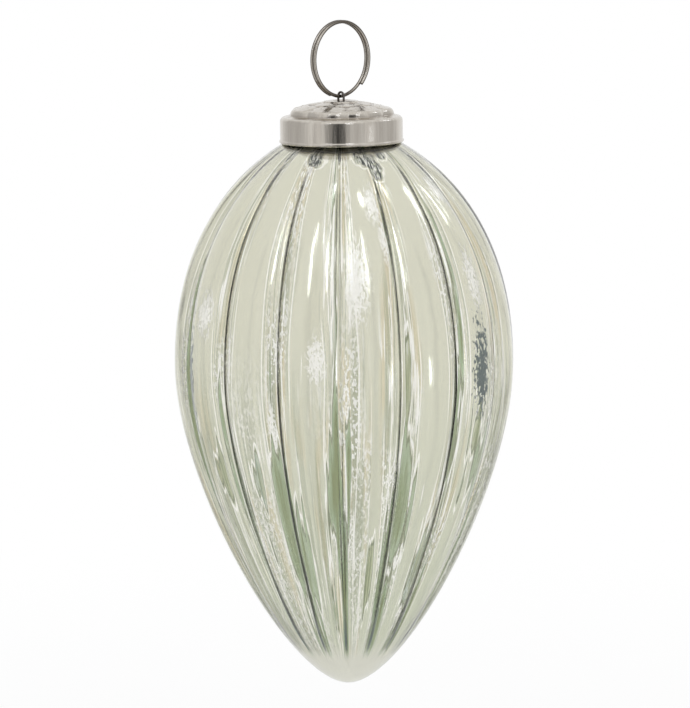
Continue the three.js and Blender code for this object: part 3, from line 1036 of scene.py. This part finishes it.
def capHollowShade(kind, share, angle):
    # How much painted shade darkens the hollows beside the petals and at the foot of the step
    cap = capSheet
    if kind == "shoulder":
        return 0.5 * (1 - share) ** 3
    if kind == "step":
        return cap["hollowShadeStrength"] * smoothStep(0.75, 1, share)
    rim = lobeRim(angle)
    radius = cap["holeRadius"] + share * (rim - cap["holeRadius"])
    if radius < cap["bossRadius"]:
        return 0.5 * (1 - smoothStep(0, 0.35, share))
    return cap["hollowShadeStrength"] * smoothStep(0.1, 0.35, -rosetteRelief(radius, angle, rim))


def makeCapMesh():
    cap = capSheet
    top, bottom = capTopZ / mm, capBottomZ / mm
    rimZ = top - cap["bossHeight"] - domeDrop(cap["rimRadius"])
    heights = {"top": top, "foot": rimZ - cap["stepHeight"]}
    heights["edge"] = heights["foot"] - cap["shoulderFall"]
    skirtTop = heights["edge"] - cap["edgeRadius"]
    lipZ = bottom + cap["lipRadius"]
    lipCentre = cap["radius"] + cap["lipFlare"] - cap["lipRadius"]
    lipStart = math.acos((cap["radius"] - lipCentre) / cap["lipRadius"])

    def arc(centre, z, radius, start, end, count):
        angles = [start + (end - start) * i / count for i in range(count + 1)]
        return [(centre + radius * math.cos(a), z + radius * math.sin(a)) for a in angles]

    inner = cap["radius"] - cap["edgeRadius"]
    topRows, stepRows, shoulderRows, skirtRows = (
        cap[part + "Rows"] for part in ("top", "step", "shoulder", "skirt"))
    lobed = [("top", i / topRows) for i in range(topRows + 1)]
    lobed += [("step", i / stepRows) for i in range(1, stepRows + 1)]
    lobed += [("shoulder", i / shoulderRows) for i in range(1, shoulderRows)]
    plain = arc(inner, skirtTop, cap["edgeRadius"], math.pi / 2, 0, cap["edgeRows"])
    plain += [(cap["radius"], skirtTop + (lipZ - skirtTop) * i / skirtRows) for i in range(1, skirtRows)]
    plain += arc(lipCentre, lipZ, cap["lipRadius"], lipStart, -math.pi + lipStart / 2, cap["lipRows"])
    under = cap["rimRadius"] - cap["lobeDepth"] - cap["sheet"] / 2
    sheet = cap["sheet"] + cap["petalRise"] / 2
    plain += [(cap["radius"] - cap["sheet"], lipZ + cap["lipRadius"])]
    plain += arc(inner, skirtTop, cap["edgeRadius"] - cap["sheet"], 0, math.pi / 2, cap["insideRows"])
    plain += [
        (under + cap["footRadius"] - cap["rimRadius"], heights["foot"] - cap["sheet"]),
        (under, rimZ - sheet),
        (cap["bossRadius"], top - cap["bossHeight"] - domeDrop(cap["bossRadius"]) - sheet),
        (cap["holeRadius"], top - cap["holeDimple"] - cap["sheet"]),
    ]
    phase = math.radians(cap["phase"])
    columns = cap["columns"]
    rows = len(lobed) + len(plain)
    points = []
    for column in range(columns):
        angle = 2 * math.pi * column / columns
        ring = [capRow(kind, share, heights, angle) for kind, share in lobed] + plain
        x, y = mm * math.cos(angle + phase), mm * math.sin(angle + phase)
        points += [(r * x, r * y, z * mm) for r, z in ring]
    faces = []
    for column in range(columns):
        here, there = column * rows, (column + 1) % columns * rows
        for row in range(rows):
            up = (row + 1) % rows
            faces.append((here + row, here + up, there + up, there + row))
    mesh = bpy.data.meshes.new("stamped_cap")
    mesh.from_pydata(points, [], faces)
    mesh.shade_smooth()
    # Painted shade: how dark each point of the top is drawn in the hollows
    hollowShade = mesh.attributes.new("hollowShade", "FLOAT", "POINT")
    for column in range(columns):
        angle = 2 * math.pi * column / columns
        for row, (kind, share) in enumerate(lobed):
            hollowShade.data[column * rows + row].value = capHollowShade(kind, share, angle)
    return mesh


capBeads = {
    "perLobe": 2,
    "ringRadius": 10.2 * mm,
    "radius": 0.36 * mm,
    "flatness": 0.7,
    "sink": 0.05 * mm,
}


def makeBeadTree():
    tree, given, result = newGroup("beadRing", "GeometryNodeTree", {
        "Geometry": "Geometry", "Count": 14, "Ring Radius": 0.010,
        "Bead Radius": 0.0004, "Flatness": 0.7, "Phase": 0.0,
        "Height": 0.0, "Material": "Material",
    }, {"Geometry": "Geometry"})
    index = addNode(tree, "GeometryNodeInputIndex").outputs[0]
    turn = maths(tree, "DIVIDE", plus(tree, index, 0.5), given["Count"])
    angle = maths(tree, "MULTIPLY_ADD", turn, 2 * math.pi, given["Phase"])
    x = product(tree, given["Ring Radius"], maths(tree, "COSINE", angle))
    y = product(tree, given["Ring Radius"], maths(tree, "SINE", angle))
    place = joinVector(tree, x, y, given["Height"])
    spots = addNode(tree, "GeometryNodePoints", {"Count": given["Count"], "Position": place})
    bead = addNode(tree, "GeometryNodeMeshIcoSphere", {"Radius": given["Bead Radius"], "Subdivisions": 3})
    flat = joinVector(tree, 1.0, 1.0, given["Flatness"])
    beads = addNode(tree, "GeometryNodeInstanceOnPoints", {
        "Points": spots, "Instance": bead.outputs["Mesh"], "Scale": flat})
    loose = addNode(tree, "GeometryNodeRealizeInstances", {"Geometry": beads})
    finishGeometry(tree, smoothed(tree, loose), given["Material"], result)
    return tree


nickelLook = {
    "bright": (0.58, 0.545, 0.49, 1),
    "patina": (0.46, 0.42, 0.365, 1),
    "scored": (0.42, 0.38, 0.33, 1),
    "scoredShare": 0.45,
    "scores": (900.0, 60.0, 3.0, 0.35, 0.7, 2.0),
    # Painted shade colour for the hollows of the rosette
    "hollowShade": (0.32, 0.28, 0.24, 1),
    "roughness": (0.19, 0.30),
    "grain": 0.06 * mm,
}


def makeNickelMaterial():
    look = nickelLook
    material, tree, shader = newMaterial("worn nickel")
    place = objectPlace(tree)
    wear = groupNode(tree, metalWear, {"Vector": place, "Scale": 200.0, "Amount": 0.35})
    scored = streakPattern(tree, place, look["scores"])["Mask"]
    colour = mixColour(tree, wear["Patina"], look["bright"], look["patina"])
    colour = mixColour(tree, product(tree, scored, look["scoredShare"]), colour, look["scored"])
    # Painted shade: the colour darkens towards the hollow tone in the hollows of the rosette
    hollowShade = addNode(tree, "ShaderNodeAttribute", attribute_name="hollowShade").outputs["Fac"]
    plug(tree, mixColour(tree, hollowShade, colour, look["hollowShade"]), shader["Base Color"])
    shader["Metallic"].default_value = 1
    plug(tree, mixValue(tree, wear["Patina"], *look["roughness"]), shader["Roughness"])
    relief = plus(tree, product(tree, wear["Grain"], 0.5), scored)
    addBump(tree, shader, 0.25, look["grain"], relief)
    return material


def makeCap():
    nickel = makeNickelMaterial()
    mesh = makeCapMesh()
    mesh.materials.append(nickel)
    cap = newObject("stamped_cap", mesh)
    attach(cap, "bauble")
    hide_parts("cap")
    drop = (capSheet["bossHeight"] + domeDrop(capBeads["ringRadius"] / mm)) * mm
    beads = grow("cap_beads", makeBeadTree(), {
        "Count": capBeads["perLobe"] * capSheet["lobes"], "Ring Radius": capBeads["ringRadius"],
        "Bead Radius": capBeads["radius"], "Flatness": capBeads["flatness"],
        "Phase": math.radians(capSheet["phase"]), "Height": capTopZ - drop - capBeads["sink"],
        "Material": nickel})
    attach(beads, "bauble")
    print("cap made:", len(mesh.polygons), "faces and", len(beads.data.polygons), "of beads")


makeCap()


# Wires: the split ring and the hanger, each one round wire along its path

ringWire = {
    "wire": 0.9 * mm,
    "turnGap": 0.1 * mm,
    "frontEnd": 45,
    "backEnd": -20,
    "slantReach": 20,
    "points": 360,
    "bright": (0.56, 0.52, 0.46, 1),
    "patinaAndEdgeShade": (0.10, 0.085, 0.07, 1),
    "patina": 0.3,
}
ringLowZ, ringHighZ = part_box("split_ring")[0][2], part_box("split_ring")[1][2]
ringCentreZ = (ringLowZ + ringHighZ) / 2
ringRadius = (ringHighZ - ringLowZ - ringWire["wire"]) / 2

hangerWire = {
    "wire": 0.6 * mm,
    "gapToRing": 0.25 * mm,
    "bendRadius": 1 * mm,
    "spread": 62,
    "reach": 9 * mm,
    "bendBelowCapTop": 1.1 * mm,
    "archStep": 6,
    "bendSteps": 8,
    "bright": (0.16, 0.15, 0.14, 1),
    "patinaAndEdgeShade": (0.07, 0.06, 0.05, 1),
    "patina": 0.7,
}
wireSides = 24
wireSharpBend = 0.9
wireRoughness = (0.15, 0.28)
# Facing values over which a wire's colour goes to its dark tone: painted shade along the wire's edges
wireEdgeShade = (0.05, 0.35)


def makeWireTree():
    tree, given, result = newGroup("roundWire", "GeometryNodeTree", {
        "Geometry": "Geometry", "Path": "Object", "Wire Radius": 0.0004,
        "Sides": 24, "Material": "Material",
    }, {"Geometry": "Geometry"})
    section = addNode(tree, "GeometryNodeCurvePrimitiveCircle", {
        "Resolution": given["Sides"], "Radius": given["Wire Radius"]})
    tube = addNode(tree, "GeometryNodeCurveToMesh", {
        "Curve": pathGeometry(tree, given["Path"]), "Profile Curve": section, "Fill Caps": True})
    bend = addNode(tree, "GeometryNodeInputMeshEdgeAngle").outputs["Unsigned Angle"]
    sharp = addNode(tree, "GeometryNodeSetShadeSmooth", {
        "Geometry": smoothed(tree, tube), "Shade Smooth": False,
        "Selection": maths(tree, "GREATER_THAN", bend, wireSharpBend)}, domain="EDGE")
    finishGeometry(tree, sharp, given["Material"], result)
    return tree


def makePath(name, points):
    curve = bpy.data.curves.new(name, "CURVE")
    curve.dimensions = "3D"
    spline = curve.splines.new("POLY")
    spline.points.add(len(points) - 1)
    for made, place in zip(spline.points, points):
        made.co = (*place, 1)
    return newObject(name, curve)


def ringPath():
    ring = ringWire
    halfPitch = (ring["wire"] + ring["turnGap"]) / 2
    start, end = ring["frontEnd"], ring["backEnd"] + 720
    points = []
    for i in range(ring["points"] + 1):
        degrees = start + (end - start) * i / ring["points"]
        slant = 2 * smoothStep(360 - ring["slantReach"], 360 + ring["slantReach"], degrees) - 1
        angle = math.radians(degrees)
        x, z = ringRadius * math.sin(angle), ringCentreZ - ringRadius * math.cos(angle)
        points.append((x, halfPitch * slant, z))
    return points


def hangerPath():
    hanger = hangerWire
    pivotZ = ringCentreZ - ringRadius
    arch = (ringWire["wire"] + hanger["wire"]) / 2 + hanger["gapToRing"]
    spread = math.radians(hanger["spread"])
    bend = hanger["bendRadius"]
    bendZ = capTopZ - hanger["bendBelowCapTop"]
    turns = [math.radians(a) for a in range(hanger["archStep"], 91, hanger["archStep"])]
    half = [(0, arch * math.sin(a), pivotZ + arch * math.cos(a)) for a in turns]
    for i in range(hanger["bendSteps"] + 1):
        a = spread * i / hanger["bendSteps"]
        half.append((0, arch + bend * (1 - math.cos(a)), bendZ - bend * math.sin(a)))
    run = hanger["reach"] - half[-1][1]
    half.append((0, hanger["reach"], half[-1][2] - run / math.tan(spread)))
    crown = (0, 0, pivotZ + arch)
    return [(x, -y, z) for x, y, z in reversed(half)] + [crown] + half


def makeWireMaterial(name, wire):
    bright, patinaAndEdgeShade = wire["bright"], wire["patinaAndEdgeShade"]
    material, tree, shader = newMaterial(name)
    place = objectPlace(tree)
    wear = groupNode(tree, metalWear, {"Vector": place, "Scale": 150.0, "Amount": wire["patina"]})
    # Painted shade along the edges: the colour goes to the dark tone where the wire is seen edge-on; that
    # tone is also the patina
    facing = addNode(tree, "ShaderNodeLayerWeight", {"Blend": 0.5}).outputs["Facing"]
    edgeShaded = mixColour(tree, ramp(tree, facing, *wireEdgeShade), bright, patinaAndEdgeShade)
    plug(tree, mixColour(tree, wear["Patina"], edgeShaded, patinaAndEdgeShade), shader["Base Color"])
    shader["Metallic"].default_value = 1
    plug(tree, mixValue(tree, wear["Patina"], *wireRoughness), shader["Roughness"])
    addBump(tree, shader, 0.1, 0.02 * mm, wear["Grain"])
    return material


def makeWires():
    wireTree = makeWireTree()
    pieces = (
        ("ring_wire", ringPath(), ringWire, "aged nickel wire", "ring", "ring_wire", "split_ring"),
        ("hanger_loop", hangerPath(), hangerWire, "dark steel wire", "hanger", "hanger_wire", "hanger_wire"),
    )
    for name, points, wire, finish, body, slotName, node in pieces:
        path = makePath(name + "Path", points)
        material = makeWireMaterial(finish, wire)
        piece = grow(name, wireTree, {
            "Path": path, "Wire Radius": wire["wire"] / 2, "Sides": wireSides, "Material": material})
        bpy.data.objects.remove(path)
        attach(piece, body)
        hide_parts(node)
        print(name, "made:", len(piece.data.polygons), "faces")


makeWires()


# Cement between the neck and the cap

cementLook = {
    "dark": (0.45, 0.42, 0.36, 1),
    "pale": (0.62, 0.59, 0.52, 1),
    "roughness": 0.85,
    "lumps": 0.2 * mm,
}


def makeCementMaterial():
    material, tree, shader = newMaterial("cap cement")
    place = objectPlace(tree)
    lumps = addNode(tree, "ShaderNodeTexNoise", {
        "Vector": place, "Scale": 900.0, "Detail": 4.0}).outputs["Fac"]
    plug(tree, mixColour(tree, lumps, cementLook["dark"], cementLook["pale"]), shader["Base Color"])
    shader["Roughness"].default_value = cementLook["roughness"]
    addBump(tree, shader, 0.6, cementLook["lumps"], lumps)
    return material


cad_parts["cap_cement"].material_slots[0].material = makeCementMaterial()
print("cement finished")
